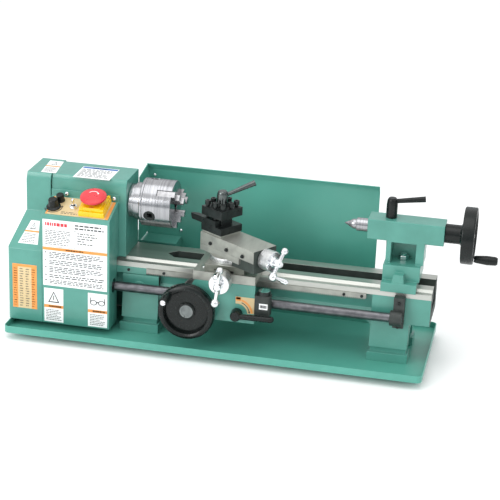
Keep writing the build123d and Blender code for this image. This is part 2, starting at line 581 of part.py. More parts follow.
def carriage_drive():
    reduction_dir = math.atan2(PINION_Z - HANDWHEEL[1], PINION_SHAFT_X - HANDWHEEL[0])
    wheel_gear = gear_on_y(HANDWHEEL_TEETH, RACK_MODULE, (-74.6, -70), HANDWHEEL, reduction_dir, THIN_TOOTH)
    big_phase = mesh_phase(reduction_dir, HANDWHEEL_TEETH, REDUCTION_TEETH, reduction_dir)
    shaft_at = (PINION_SHAFT_X, PINION_Z)
    big = gear_on_y(REDUCTION_TEETH, RACK_MODULE, (-74.6, -70), shaft_at, big_phase)
    pitch = math.pi * RACK_MODULE
    over_gap = (PINION_SHAFT_X - RACK_X[0]) / pitch % 1.0
    pinion_phase = math.pi / 2 - over_gap * 2 * math.pi / PINION_TEETH
    pinion = gear_on_y(PINION_TEETH, RACK_MODULE, (-43.6, -36), shaft_at, pinion_phase)
    shaft = rod_y(4, PINION_SHAFT_X, (-79.8, -40), PINION_Z)
    node("apron_pinion", big + pinion + shaft)
    at = Pos(HANDWHEEL[0], 0, HANDWHEEL[1])
    profile = [(78.6, 6), (86.4, 6), (86.4, 15), (100, 14), (101.5, 11), (101.5, 8), (100.6, 8), (100.6, 0)]
    hub = at * TO_FRONT * turned(profile)
    dish = turned([(93, 14), (96.5, 30), (93, 41), (98, 41), (100.5, 30), (98, 14)])
    rim = turned([(92, 37.5), (91, 41), (92, 45), (95, 47), (103, 47), (106.5, 45), (108, 41), (106.5, 37.5), (104, 36.5),
                  (94, 36.5)]) - Pos(0, 0, 90) * Cylinder(36.5, 20, align=(Align.CENTER, Align.CENTER, Align.MIN))
    pin_at = Pos(-27.5, 0, 29.5)
    pin = pin_at * rod_y(3, 0, (-146, -100), 0)
    wheel = hub + at * TO_FRONT * dish + at * TO_FRONT * rim + at * pin
    shaft = rod_y(4.8, HANDWHEEL[0], (-80, -70), HANDWHEEL[1])
    node("carriage_handwheel", wheel + shaft + wheel_gear)
    grip = at * pin_at * TO_FRONT * grip_profile(108.6, 145.4)
    node("carriage_grip", grip)


def grip_profile(start, end):
    """Revolving handle sleeve with a 3 mm pin through it."""
    length = end - start
    shape = turned([(start, 5), (start + 3, 6), (start + length * 0.55, 7.6), (end - 3, 7), (end, 5.5)])
    return shape - Pos(0, 0, start - 1) * Cylinder(3 + RUN, length + 2, align=(Align.CENTER, Align.CENTER, Align.MIN))


def thread_dial():
    x, y = DIAL_AT
    body = block((230.2, 256), (-86, -69), (-54, -20))
    body = fillet(body.edges().filter_by(Axis.Z).group_by(Axis.X)[-1], 5)
    body -= rod_z(3 + RUN, x, y, (-60, -10))
    body -= block((x - 10, x + 10), (y - 6.5, -60), (-48, -36))
    body -= rod_z(9, x, y, (-48, -36))
    node("thread_dial_body", body)
    dial = rod_z(3, x, y, (-50, -18)) + rod_z(8.2, x, y, (-46.5, -37.5))
    dial += Pos(x, y, -19.7) * turned([(0, 10.5), (5, 10.5), (6.5, 9.5)])
    node("thread_dial", dial)


def half_nuts():
    y, z = LEADSCREW
    x = (188, 216.5)
    bore = rod_x(LEADSCREW_R + 0.35, (180, 220), y, z)
    node("half_nut_upper", block(x, (-69.5, -51), (z + 0.2, z + 14)) - bore)
    node("half_nut_lower", block(x, (-69.5, -51), (z - 14, z - 0.2)) - bore)
    lx, lz = LEVER_AT
    lever = rod_y(7, lx, (-86, -74.9), lz) + rod_y(11, lx, (-74.9, -71.5), lz)
    lever += Pos(lx, 0, lz) * TO_FRONT * turned([(82.3, 9.5), (98, 8.5), (100, 7)])
    lever += rod_between(4.4, 5.4, (lx + 4, -95, lz), (lx + 58, -95, lz + 1))
    lever += Pos(lx + 58, -95, lz + 1) * Sphere(5.4)
    node("half_nut_lever", lever)


def ball_crank(at, arm, tilt, grip_on_top):
    """Cranked handle seen along its axis: a hub, two arms ending in balls, and a slim grip."""
    handle = turned([(0, 7.5), (7, 7), (12, 6), (14, 4)])
    for side, ball in ((1, 6.0), (-1, 7.2)):
        end = (side * arm * math.sin(tilt), side * arm * math.cos(tilt), 8)
        handle += rod_between(3.4, 2.8, (0, 0, 7), end)
        handle += Pos(*end) * Sphere(ball)
        if (side > 0) == grip_on_top:
            handle += Pos(end[0], end[1], 8) * turned([(0, 2.8), (8, 2.8), (22, 4.4), (30, 4.0), (32, 2.2)])
    return at * handle


def cross_slide():
    x = (145.0, 210.0)
    body = block(x, (-80, 38), (SADDLE_TOP + GAP, 22.5))
    groove = bar_y([(164 - 0.3, SADDLE_TOP), (161 - 0.3, SADDLE_TOP + 5.2), (194.3, SADDLE_TOP + 5.2), (191.3, SADDLE_TOP)],
                   (-90, 60))
    node("cross_slide", body - groove)
    dial = turned([(97.2, 16), (98, 17), (118, 17), (119, 16), (119, 8.5), (121, 8)])
    crank_at = Pos(CARRIAGE_X, -121, CROSS_SCREW_Z) * TO_FRONT
    crank = ball_crank(crank_at, 28, math.radians(6), True)
    screw = rod_y(4, CARRIAGE_X, (-100, 40), CROSS_SCREW_Z)
    node("cross_feed_crank", Pos(CARRIAGE_X, 0, CROSS_SCREW_Z) * TO_FRONT * dial + crank + screw)


# ---------------------------------------------------------------- compound, turret and tool
SLIDE_X = (-44.0, 81.0)         # local, along the compound
SLIDE_HALF = 25.0
DISC_TOP, BASE_TOP = 31.0, 41.5
TURRET_AT = -21.0
GIB_SCREW_X, GIB_SCREW_Z, GIB_SCREW_R = (-19.0, 19.0, 56.0), 48.0, 1.9
TURRET_HALF = 23.5
TOOL_SIZE = 10.0


def compound():
    disc = rod_z(32, 0, 0, (22.5 + GAP, DISC_TOP))
    disc = chamfer(disc.edges().sort_by(Axis.Z)[-1], 1)
    way = bar_x([(-11, BASE_TOP - 1), (-14, BASE_TOP + 9), (14, BASE_TOP + 9), (11, BASE_TOP - 1)], (-44, 50))
    seat = block((-44, 47), (-SLIDE_HALF, SLIDE_HALF), (DISC_TOP, BASE_TOP))
    tail = block((28, 79), (-21, 21), (22.5 + GAP, BASE_TOP))
    node("compound_base", COMPOUND * (disc + seat + tail + way))
    body = block(SLIDE_X, (-SLIDE_HALF, SLIDE_HALF), (BASE_TOP + GAP, COMPOUND_TOP))
    body -= bar_x([(-11.4, BASE_TOP - 1), (-14.3, BASE_TOP + 9.3), (14.3, BASE_TOP + 9.3), (11.4, BASE_TOP - 1)],
                  (SLIDE_X[0] - 1, 72))
    body += block((TURRET_AT - 22, TURRET_AT + 22), (-22, 22), (COMPOUND_TOP, COMPOUND_TOP + 3))
    body += rod_z(5, TURRET_AT, 0, (COMPOUND_TOP, TURRET_TOP + 8))
    body -= rod_x(3 + RUN, (65, 82), 0, 46)
    gib_screws = []
    for x in GIB_SCREW_X:
        body -= rod_y(GIB_SCREW_R + RUN, x, (-SLIDE_HALF - 1, -SLIDE_HALF + 8), GIB_SCREW_Z)
        at = Pos(x, -SLIDE_HALF, GIB_SCREW_Z) * TO_FRONT
        nut = at * extrude(RegularPolygon(3.4, 6), 2.4)
        gib_screws.append(nut + rod_y(GIB_SCREW_R, x, (-SLIDE_HALF - 4, -SLIDE_HALF + 8), GIB_SCREW_Z))
    node("compound_slide", COMPOUND * body, *[COMPOUND * screw for screw in gib_screws])
    dial = turned([(0, 16), (1, 17), (20, 17), (21, 16), (21, 8.5), (23, 8)])
    out = Plane(origin=(SLIDE_X[1] + 0.4, 0, 46), x_dir=(0, 1, 0), z_dir=(1, 0, 0))
    crank = ball_crank(out * Pos(0, 0, 23), 22, math.radians(33), False)
    node("compound_crank", COMPOUND * (out * dial + crank + rod_x(3, (67, 95), 0, 46)))


def turret():
    half = TURRET_HALF
    low = COMPOUND_TOP + 3 + GAP
    body = block((-half, half), (-half, half), (low, TOOL_FLOOR)) + block((-12, 12), (-12, 12), (TOOL_FLOOR, 91.5))
    body += block((-half, half), (-half, half), (91.5, TURRET_TOP))
    body -= rod_z(5 + RUN, 0, 0, (60, 110))
    place = Pos(TURRET_AT, 0, 0)
    bolts = []
    for quarter in range(4):
        for along in (-15.0, 3.0):
            spot = Rot(0, 0, 90 * quarter) * Pos(along, -17.5, 0)
            body -= spot * rod_z(3, 0, 0, (90, 107))
            tip = TOOL_FLOOR + TOOL_SIZE + 0.05 if quarter == 0 else TOOL_FLOOR + TOOL_SIZE + 2
            shank = rod_z(3, 0, 0, (tip, TURRET_TOP + 3))
            head = Pos(0, 0, TURRET_TOP + 3) * cap_screw(4.8, 7)
            bolts.append(COMPOUND * place * spot * (shank + head))
    node("turret", COMPOUND * place * body, *bolts)
    tool = bar_x([(-half - 0.5, TOOL_FLOOR), (-half - 0.5, TOOL_FLOOR + TOOL_SIZE), (-half + TOOL_SIZE - 0.5, TOOL_FLOOR + TOOL_SIZE),
                  (-half + TOOL_SIZE - 0.5, TOOL_FLOOR)], (-48, 10))
    tool -= bar_z([(-49, -half + 3), (-49, -half + 11), (-38, -half + 11)], (TOOL_FLOOR - 1, TOOL_FLOOR + 19))
    tool -= bar_y([(-49, TOOL_FLOOR - 1), (-45.5, TOOL_FLOOR - 1), (-49, TOOL_FLOOR + TOOL_SIZE - 1)], (-half - 2, -half + 12))
    node("cutting_tool", COMPOUND * place * tool)
    hub = turned([(TURRET_TOP + 0.3, 9), (126, 9), (130, 8), (132, 6.5)])
    hub -= rod_z(5 + RUN, 0, 0, (100, TURRET_TOP + 9))
    arm = rod_between(2.8, 4.8, (6, 3, 125), (48, 24, 143))
    lever_at = COMPOUND * place
    centre = (lever_at.position.X, lever_at.position.Y, 0)
    node("turret_lever", Pos(*centre) * (hub + arm))


# ---------------------------------------------------------------- tailstock
HEAD_BLOCK_X = (396.0, 519.0)
QUILL_R = 11.0
LOCK_X = 431.0


def tailstock():
    base = block((426, 483), (-45, 43), (GAP, 11))
    base += bar_x([(-45, GAP), (-45, VEE[0][1] + GAP), (VEE[0][0] - GAP, VEE[0][1] + GAP), (VEE[1][0] - 0.2, GAP)], (426, 483))
    base += block((426, 486), (-30, 32), (11, 36))
    column = block((428, 489), (-19.8, 19.8), (36, 75))
    column -= block((436, 476), (-25, 12), (36, 71))
    head = block(HEAD_BLOCK_X, (-19.8, 19.8), (72.6, 106.3))
    head = fillet(head.edges().filter_by(Axis.X), 2)
    body = base + column + head
    body += bar_y([(443, 11), (445, 25), (461, 25), (463, 11)], (-43, -29))
    body -= rod_x(QUILL_R + RUN, (390, 506), 0, CENTRE_HEIGHT)
    body -= rod_x(6 + RUN, (500, 520), 0, CENTRE_HEIGHT)
    body -= rod_z(4.1, LOCK_X, 0, (CENTRE_HEIGHT + 5, 108))
    middle_y = sum(SLOT_Y) / 2
    body -= rod_z(5.1, 455, middle_y, (-1, 37))
    stud = rod_z(5, 455, middle_y, (-34, 46))
    nut = Pos(455, middle_y, 36) * extrude(RegularPolygon(8.5, 6), 7) - rod_z(5, 455, middle_y, (30, 50))
    plate = block((438, 472), (-22, 26.5), (-33, -24.2)) - rod_z(5, 455, middle_y, (-40, -20))
    node("tailstock_body", body, stud, nut, plate)
    quill = rod_x(QUILL_R, (376.5, 480), 0, CENTRE_HEIGHT)
    quill -= rod_x(6.3, (400, 481), 0, CENTRE_HEIGHT)
    quill -= rod_x(7, (376, 396), 0, CENTRE_HEIGHT)
    centre = Pos(356, 0, CENTRE_HEIGHT) * TO_X * turned([(0, 0.05), (14.5, 8.2), (20, 8.2), (20, 7), (39.5, 7)])
    node("tailstock_quill", quill, centre)
    wheel = turned([(519.4, 15.5), (543, 15.5), (547, 20), (551, 22), (557, 22), (558, 12), (563, 11), (566, 0)])
    dish = turned([(553, 20), (556, 38), (561, 38), (557, 20)])
    rim = turned([(547, 39), (547, 45), (549, 46), (565, 46), (567, 44.5), (567, 40), (565, 39)])
    rim -= Pos(0, 0, 540) * Cylinder(37, 40, align=(Align.CENTER, Align.CENTER, Align.MIN))
    grip_at = Pos(0, -7, -36)
    pin = grip_at * rod_x(3, (556, 606), 0, 0)
    screw = rod_x(6, (422, 521), 0, 0)
    node("tailstock_handwheel", Pos(0, 0, CENTRE_HEIGHT) * (TO_X * wheel + TO_X * dish + TO_X * rim + pin + screw))
    node("tailstock_grip", Pos(0, 0, CENTRE_HEIGHT) * grip_at * TO_X * grip_profile(568, 605))
    post = Pos(LOCK_X, 0, 0) * turned([(106.6, 9), (128, 9), (136, 8), (139.5, 6)])
    post += rod_z(4, LOCK_X, 0, (CENTRE_HEIGHT + 12, 108))
    node("quill_lock_lever", post + rod_between(3.6, 4.8, (LOCK_X + 6, 1, 134), (LOCK_X + 52, 8, 139.5)))


# ---------------------------------------------------------------- fasteners and fittings
def fasteners():
    pieces = [Pos(x, RACK_Y[0], -17.5) * TO_FRONT * cap_screw(2.4, 1.6) for x in RACK_SCREWS]
    for x in (-101.0, -20.0):
        pieces.append(Pos(x, -36, 100.5) * TO_FRONT * pan_screw(3.6, 3))
    for x, z in ((12, 104), (60, 8), (360, 60)):
        pieces.append(Pos(x, GUARD_Y, z) * TO_FRONT * pan_screw(3, 2.2))
    for z in (-17, -57.2):
        pieces.append(Pos(459.3, -58, z) * TO_FRONT * cap_screw(2.6, 2.5))
    for y, z in ((-60, -90), (78, -90)):
        pieces.append(Pos(-187, y, z) * TO_X.inverse() * pan_screw(5, 4))
    nut = extrude(RegularPolygon(7, 6), 3) + Cylinder(4.6, 5, align=(Align.CENTER, Align.CENTER, Align.MIN))
    nut -= Cylinder(3.6, 20)
    pieces.append(PANEL * Pos(*TOGGLE_AT, PLATE) * nut)
    node("machine_screws", *pieces)
    gland = turned([(0, 9), (5, 9), (5, 7.5), (10, 6.5)]) - Pos(0, 0, 5) * Cylinder(3.5, 12)
    node("cord_gland", Pos(-60, 105, -99) * TO_FRONT.inverse() * gland)


# ---------------------------------------------------------------- build and export
tray()
splash_guard()
bed()
rack()
headstock()
spindle()
chuck()
drive()
gear_train()
leadscrew_brackets()
gear_cover()
control_box()
panel_fittings()
safety_switch()
saddle()
apron()
carriage_drive()
thread_dial()
half_nuts()
cross_slide()
compound()
turret()
tailstock()
fasteners()

ROW_FRAME = Pos(-BOLT_MID_X, 0, BED_TOP_HEIGHT)
os.makedirs("parts", exist_ok=True)
for name, pieces in NODES.items():
    solids = [solid for piece in pieces for solid in (ROW_FRAME * piece).solids()]
    export_step(Compound(label=name, children=solids), os.path.join("parts", f"{name}.step"))
print(len(NODES), "nodes")
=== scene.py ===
"""Looks of a bench metal lathe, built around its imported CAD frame."""
import json
import math
import random

import bmesh
import bpy
from mathutils import Matrix, Vector

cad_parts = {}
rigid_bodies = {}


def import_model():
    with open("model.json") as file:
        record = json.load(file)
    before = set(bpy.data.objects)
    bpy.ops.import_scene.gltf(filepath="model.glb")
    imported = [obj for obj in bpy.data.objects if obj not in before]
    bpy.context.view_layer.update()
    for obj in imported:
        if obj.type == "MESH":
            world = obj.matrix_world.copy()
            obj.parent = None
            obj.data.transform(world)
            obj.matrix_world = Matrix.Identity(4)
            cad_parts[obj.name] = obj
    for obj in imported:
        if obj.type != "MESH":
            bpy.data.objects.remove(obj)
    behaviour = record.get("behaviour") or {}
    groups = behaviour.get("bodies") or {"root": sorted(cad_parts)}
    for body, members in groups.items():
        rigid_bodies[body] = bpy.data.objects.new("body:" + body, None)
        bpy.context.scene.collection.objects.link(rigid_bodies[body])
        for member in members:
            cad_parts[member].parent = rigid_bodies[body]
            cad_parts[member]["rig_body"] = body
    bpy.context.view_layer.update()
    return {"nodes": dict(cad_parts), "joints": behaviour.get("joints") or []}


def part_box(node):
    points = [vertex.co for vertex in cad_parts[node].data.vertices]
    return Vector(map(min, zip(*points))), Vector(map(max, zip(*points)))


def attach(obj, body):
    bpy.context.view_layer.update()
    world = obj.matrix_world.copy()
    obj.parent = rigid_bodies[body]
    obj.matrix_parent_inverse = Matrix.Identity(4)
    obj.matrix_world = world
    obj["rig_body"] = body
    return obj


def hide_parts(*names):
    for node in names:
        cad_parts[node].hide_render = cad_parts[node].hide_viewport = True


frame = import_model()

# Shapes are built in a working frame in millimetres: X = 0 is the headstock's right face,
# Y = 0 the spindle's vertical plane and Z = 0 the top of the bed ways.
MM = 0.001
WORK_ORIGIN = Vector((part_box("headstock")[1].x, 0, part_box("bed")[1].z))
TO_ROW = Matrix.Translation(WORK_ORIGIN) @ Matrix.Scale(MM, 4)
JOINTS = {joint["name"]: joint for joint in frame["joints"]}


def pivot(joint):
    """A joint's point in the working frame."""
    return (Vector(JOINTS[joint]["pos_m"]) - WORK_ORIGIN) / MM


def box_mm(node):
    low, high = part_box(node)
    return (low - WORK_ORIGIN) / MM, (high - WORK_ORIGIN) / MM


PANEL_SLOPE = math.radians(17.5)
COMPOUND_TURN = math.radians(-34)
COMPOUND = Matrix.Translation((pivot("compound_swivel").x, pivot("compound_swivel").y, 0)) @ Matrix.Rotation(
    COMPOUND_TURN, 4, "Z")


# ---------------------------------------------------------------- mesh helpers
def facing(origin, direction, up=(0, 0, 1)):
    """Frame at origin with its Z along direction and its Y towards up."""
    z = Vector(direction).normalized()
    x = Vector(up).cross(z)
    x = x.normalized() if x.length > 1e-6 else Vector((1, 0, 0))
    turn = Matrix((x, z.cross(x), z)).transposed().to_4x4()
    return Matrix.Translation(Vector(origin)) @ turn


def rounded(points, radius, steps=4, closed=False):
    """Outline with a soft curve at each corner."""
    result = []
    for index, point in enumerate(points):
        if not closed and index in (0, len(points) - 1):
            result.append(tuple(point))
            continue
        corner = Vector(point)
        before = Vector(points[index - 1]) - corner
        after = Vector(points[(index + 1) % len(points)]) - corner
        reach = min(radius, before.length * 0.48, after.length * 0.48)
        start = corner + before.normalized() * reach
        end = corner + after.normalized() * reach
        for step in range(steps + 1):
            t = step / steps
            result.append(tuple((1 - t) ** 2 * start + 2 * t * (1 - t) * corner + t * t * end))
    return result


def face(bm, corners, material):
    kept = list(dict.fromkeys(corners))
    if len(kept) > 2:
        bm.faces.new(kept).material_index = material


def bridge(bm, low, high, material):
    """Faces between two rings, either of which may be a single point."""
    count = max(len(low), len(high))
    for index in range(count):
        after = index + 1
        face(bm, [low[index % len(low)], low[after % len(low)], high[after % len(high)],
                  high[index % len(high)]], material)


def spun(bm, outline, at, steps=72, closed=False, material=0):
    """Solid of revolution about the frame's Z from (along, radius) points."""
    if not closed:
        outline = [(outline[0][0], 0), *outline, (outline[-1][0], 0)]
    rings = []
    for along, radius in outline:
        turns = steps if radius > 1e-4 else 1
        ring = []
        for step in range(turns):
            angle = 2 * math.pi * step / turns
            point = Vector((radius * math.cos(angle), radius * math.sin(angle), along))
            ring.append(bm.verts.new(at @ point))
        rings.append(ring)
    following = rings[1:] + rings[:1] if closed else rings[1:]
    for low, high in zip(rings, following):
        bridge(bm, low, high, material)


def prism(bm, outline, low, high, at=Matrix.Identity(4), material=0):
    """Prism along the frame's Z from an (x, y) outline."""
    ends = []
    for z in (low, high):
        ends.append([bm.verts.new(at @ Vector((x, y, z))) for x, y in outline])
    bridge(bm, ends[0], ends[1], material)
    for end in ends:
        face(bm, end, material)


def slab(bm, low, high, at=Matrix.Identity(4), material=0):
    outline = [(low[0], low[1]), (high[0], low[1]), (high[0], high[1]), (low[0], high[1])]
    prism(bm, outline, low[2], high[2], at, material)


# ---------------------------------------------------------------- pieces
def smoothed(obj, bevel, sharp, segments):
    """Rounds the edges sharper than an angle, and weights the normals so that flat faces stay flat."""
    for edge in obj.data.edges:
        edge.use_edge_sharp = False
    if bevel:
        round_over = obj.modifiers.new("edges", "BEVEL")
        round_over.width = bevel * MM
        round_over.segments = segments
        round_over.limit_method = "ANGLE"
        round_over.angle_limit = math.radians(sharp)
        round_over.use_clamp_overlap = False
        round_over.loop_slide = False
    bpy.context.view_layer.update()
    evaluated = obj.evaluated_get(bpy.context.evaluated_depsgraph_get())
    mesh = bpy.data.meshes.new_from_object(evaluated)
    obj.modifiers.clear()
    bm = bmesh.new()
    bm.from_mesh(mesh)
    for polygon_face in bm.faces:
        polygon_face.smooth = True
    for edge in bm.edges:
        edge.smooth = edge.calc_face_angle(0) < math.radians(max(sharp, 50 if bevel else sharp))
    bm.to_mesh(mesh)
    bm.free()
    obj.data = mesh
    weights = obj.modifiers.new("normals", "WEIGHTED_NORMAL")
    weights.keep_sharp = True
    evaluated = obj.evaluated_get(bpy.context.evaluated_depsgraph_get())
    obj.data = bpy.data.meshes.new_from_object(evaluated)
    obj.modifiers.clear()


def piece(bm, name, body, materials, replaces=(), bevel=0.0, sharp=32, segments=2):
    """Turns a working-frame mesh into a finished piece that rides on a body."""
    bmesh.ops.recalc_face_normals(bm, faces=bm.faces)
    bm.transform(TO_ROW)
    mesh = bpy.data.meshes.new(name)
    bm.to_mesh(mesh)
    bm.free()
    for material in materials:
        mesh.materials.append(material)
    obj = bpy.data.objects.new(name, mesh)
    bpy.context.scene.collection.objects.link(obj)
    smoothed(obj, bevel, sharp, segments)
    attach(obj, body)
    if replaces:
        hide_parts(*replaces)
    return obj


def from_node(node):
    """Working-frame copy of a CAD node's mesh, with its flat faces joined up."""
    bm = bmesh.new()
    bm.from_mesh(frame["nodes"][node].data)
    bm.transform(TO_ROW.inverted())
    bmesh.ops.remove_doubles(bm, verts=bm.verts, dist=0.0005)
    bmesh.ops.dissolve_limit(bm, angle_limit=math.radians(0.6), verts=bm.verts, edges=bm.edges)
    for copied in bm.faces:
        copied.material_index = 0
    return bm


def finished(node, materials, bevel=0.4, rules=(), segments=2):
    """The CAD node with rounded edges. A rule (index, test) gives other faces another material."""
    bm = from_node(node)
    for index, test in rules:
        for each in bm.faces:
            if test(each.calc_center_median(), each.normal):
                each.material_index = index
    body = frame["nodes"][node]["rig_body"]
    return piece(bm, node + "_finished", body, materials, (node,), bevel, segments=segments)


# ---------------------------------------------------------------- materials
def linear(red, green, blue):
    """Scene colour of an ordinary 0-255 colour."""
    shades = (red, green, blue)
    return tuple(((c / 255 + 0.055) / 1.055) ** 2.4 if c > 10 else c / 255 / 12.92 for c in shades) + (1,)


class Nodes:
    """Builds one material's node tree."""

    def __init__(self, name):
        self.material = bpy.data.materials.new(name)
        self.material.use_nodes = True
        self.tree = self.material.node_tree
        self.shader = self.tree.nodes["Principled BSDF"]
        self.place = self.add("ShaderNodeTexCoord").outputs["Object"]

    def add(self, kind, **values):
        made = self.tree.nodes.new(kind)
        for key, value in values.items():
            if hasattr(made, key):
                setattr(made, key, value)
            else:
                made.inputs[key.replace("_", " ")].default_value = value
        return made

    def link(self, source, target):
        self.tree.links.new(source, target)

    def noise(self, scale, detail=3.0, stretch=(1, 1, 1), rough=0.5):
        mapping = self.add("ShaderNodeMapping")
        mapping.inputs["Scale"].default_value = stretch
        self.link(self.place, mapping.inputs["Vector"])
        made = self.add("ShaderNodeTexNoise", Scale=scale, Detail=detail, Roughness=rough)
        self.link(mapping.outputs["Vector"], made.inputs["Vector"])
        return made.outputs["Fac"]

    def ramp(self, source, stops):
        made = self.add("ShaderNodeValToRGB")
        band = made.color_ramp
        for index, (position, colour) in enumerate(stops):
            element = band.elements[index] if index < 2 else band.elements.new(position)
            element.position = position
            element.color = colour
        self.link(source, made.inputs["Fac"])
        return made.outputs["Color"]

    def spread(self, source, low, high):
        made = self.add("ShaderNodeMapRange")
        made.inputs["From Min"].default_value = 0.3
        made.inputs["From Max"].default_value = 0.7
        made.inputs["To Min"].default_value = low
        made.inputs["To Max"].default_value = high
        self.link(source, made.inputs["Value"])
        return made.outputs["Result"]

    def bump(self, source, depth, strength=1.0):
        made = self.add("ShaderNodeBump", Strength=strength, Distance=depth * MM)
        self.link(source, made.inputs["Height"])
        last = self.shader.inputs["Normal"].links
        if last:
            self.link(last[0].from_socket, made.inputs["Normal"])
        self.link(made.outputs["Normal"], self.shader.inputs["Normal"])


def surface(name, dark, light, rough, metallic=0.0, mottle=55.0, grain=(0.02, 900.0), stretch=(1, 1, 1),
            coat=0.0, specular=0.5):
    """Base of every material: mottled colour, uneven roughness and a fine relief.

    The grain is the relief's depth in millimetres and its scale per metre."""
    nodes = Nodes(name)
    nodes.link(nodes.ramp(nodes.noise(mottle, 4.0, stretch), [(0.3, dark), (0.7, light)]),
               nodes.shader.inputs["Base Color"])
    unevenness = nodes.noise(mottle * 3.1, 3.0, stretch)
    nodes.link(nodes.spread(unevenness, *rough), nodes.shader.inputs["Roughness"])
    nodes.bump(nodes.noise(grain[1], 2.0, stretch), grain[0])
    nodes.shader.inputs["Metallic"].default_value = metallic
    nodes.shader.inputs["Coat Weight"].default_value = coat
    nodes.shader.inputs["Coat Roughness"].default_value = 0.12
    nodes.shader.inputs["Specular IOR Level"].default_value = specular
    return nodes.material


def along(axis, ratio=14.0):
    """Stretch that draws a texture out along one axis."""
    return tuple(1.0 / ratio if index == "xyz".index(axis) else 1.0 for index in range(3))


def around(axis, ratio=14.0):
    """Stretch that lays fine rings around one axis, as turning leaves them."""
    return tuple(1.0 if index == "xyz".index(axis) else 1.0 / ratio for index in range(3))


GREEN = surface("teal_enamel", linear(74, 140, 127), linear(82, 150, 137), (0.28, 0.40), mottle=28,
                grain=(0.06, 420), coat=0.25)
# The sheet-metal teal is lighter than its paint as painted light, to lift the shade that falls on the splash
# guard and chip tray.
SHEET_GREEN_PAINTED_LIGHT = surface("teal_sheet_painted_light", linear(76, 152, 136), linear(84, 162, 146), (0.34, 0.46), mottle=9,
                      grain=(0.03, 520), coat=0.15)
GROUND = surface("ground_ways", linear(170, 172, 166), linear(202, 204, 198), (0.30, 0.44), 0.85, 40,
                 (0.012, 900), along("x", 20))
MILLED = surface("milled_iron", linear(150, 152, 146), linear(176, 178, 170), (0.38, 0.52), 0.75, 70,
                 (0.03, 700), along("y", 5))
TURNED = surface("turned_steel", linear(146, 147, 150), linear(178, 179, 182), (0.16, 0.26), 1.0, 300,
                 (0.006, 2600), around("x", 30))
HARD = surface("hard_jaws", linear(140, 140, 142), linear(182, 182, 184), (0.24, 0.36), 1.0, 120,
               (0.01, 1400))
GEAR = surface("cut_steel", linear(120, 120, 120), linear(156, 156, 154), (0.32, 0.46), 1.0, 140,
               (0.02, 1200))
OXIDE = surface("black_oxide", linear(30, 34, 34), linear(46, 52, 51), (0.26, 0.40), 0.55, 90, (0.02, 1100))
CHROME = surface("polished_chrome", linear(226, 228, 230), linear(240, 241, 243), (0.06, 0.11), 1.0, 60,
                 (0.004, 700))
SATIN = surface("satin_dial", linear(196, 198, 198), linear(220, 222, 222), (0.26, 0.36), 0.9, 200,
                (0.01, 1500))
SCREW_STEEL = surface("screw_steel", linear(112, 112, 116), linear(146, 146, 150), (0.30, 0.42), 1.0, 90,
                      (0.01, 1400))
BLUED = surface("blued_steel", linear(84, 90, 90), linear(108, 114, 113), (0.22, 0.32), 1.0, 80,
                (0.008, 1200))
BLACK = surface("black_moulding", linear(10, 16, 15), linear(18, 25, 24), (0.24, 0.34), mottle=80,
                grain=(0.006, 900), coat=0.06, specular=0.3)
HUB_GREY = surface("hub_grey", linear(108, 114, 114), linear(128, 134, 133), (0.35, 0.45), 0.4, 120,
                   (0.02, 1000))
# Painted shade and painted reflection: a darker copy of the milled iron for faces that look forward into dark
# surroundings.
SHADED_IRON = surface("iron_painted_shade", linear(92, 96, 88), linear(118, 121, 112), (0.40, 0.55), 0.75, 70,
                    (0.03, 700))
# Painted shade: a dark colour put on faces that sit in shade, namely the inside of the bed, the tail of the
# compound base and the slide's right end.
SHADE = surface("painted_shade_casting", linear(40, 48, 45), linear(56, 66, 61), (0.55, 0.7), mottle=60,
                grain=(0.15, 600))
CASTING = surface("black_casting", linear(36, 42, 40), linear(50, 56, 53), (0.40, 0.55), mottle=110,
                  grain=(0.07, 900))
YELLOW = surface("yellow_moulding", linear(236, 188, 4), linear(244, 200, 8), (0.24, 0.32), mottle=50,
                 grain=(0.01, 900), coat=0.2)
RED = surface("red_moulding", linear(200, 36, 48), linear(216, 48, 58), (0.26, 0.34), mottle=50,
              grain=(0.01, 900), coat=0.2)
RUBBER = surface("rubber_foot", linear(24, 24, 24), linear(36, 36, 36), (0.65, 0.8), mottle=150,
                 grain=(0.05, 1500))
BRONZE = surface("cast_bronze", linear(150, 118, 60), linear(176, 140, 76), (0.35, 0.5), 0.9, 90,
                 (0.04, 900))
PAPER = surface("label_white", linear(238, 240, 240), linear(248, 250, 250), (0.34, 0.42), mottle=40,
                grain=(0.004, 600))
CREAM = surface("label_cream", linear(204, 180, 134), linear(214, 192, 148), (0.34, 0.42), mottle=30,
                grain=(0.004, 600))
ORANGE = surface("label_orange", linear(226, 146, 70), linear(234, 156, 80), (0.34, 0.42), mottle=40,
                 grain=(0.004, 600))
PRINT_BLUE = surface("label_blue", linear(20, 92, 164), linear(30, 104, 178), (0.34, 0.42), mottle=40,
                     grain=(0.004, 600))
PRINT_RED = surface("label_red", linear(196, 36, 52), linear(210, 46, 60), (0.34, 0.42), mottle=40,
                    grain=(0.004, 600))
INK = surface("label_ink", linear(40, 42, 46), linear(62, 64, 68), (0.4, 0.5), mottle=60,
              grain=(0.004, 600))
FLOOR = surface("studio_floor", linear(246, 247, 247), linear(250, 251, 251), (0.7, 0.8), mottle=0.6,
                grain=(0.01, 40))


# ---------------------------------------------------------------- labels
PRINTS = [PAPER, ORANGE, PRINT_BLUE, INK, PRINT_RED, CREAM]
WHITE_, ORANGE_, BLUE_, INK_, RED_, CREAM_ = range(6)
LABEL_THICKNESS = 0.2
INK_RISE = 0.06


